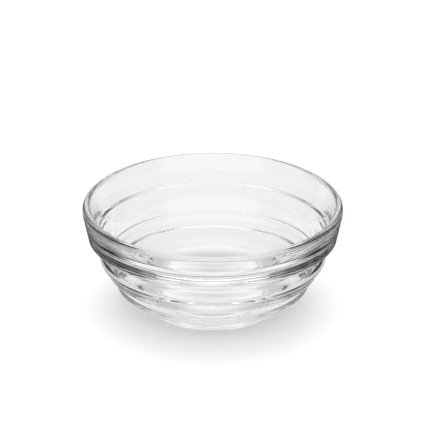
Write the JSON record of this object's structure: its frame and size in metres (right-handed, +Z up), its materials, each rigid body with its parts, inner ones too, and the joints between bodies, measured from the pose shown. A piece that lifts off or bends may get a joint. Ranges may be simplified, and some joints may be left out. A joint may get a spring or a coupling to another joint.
{
  "type": "glass bowl",
  "caption": "Round clear pressed-glass bowl with a stepped outer wall, two soft shoulders inside, a rounded lip and a flat ring foot, for holding food and stacking.",
  "frame": {"origin": "on the axis of revolution, in the plane that the foot ring stands on", "axes": "+Z up along the axis of revolution, out of the bowl's mouth; X and Y are free, because the bowl is round"},
  "size_m": [0.12, 0.12, 0.049],
  "materials": {
    "clear_glass": "clear, fire-polished, glossy inside and out"
  },
  "bodies": {
    "root": {"bowl": "clear_glass"}
  },
  "joints": []
}
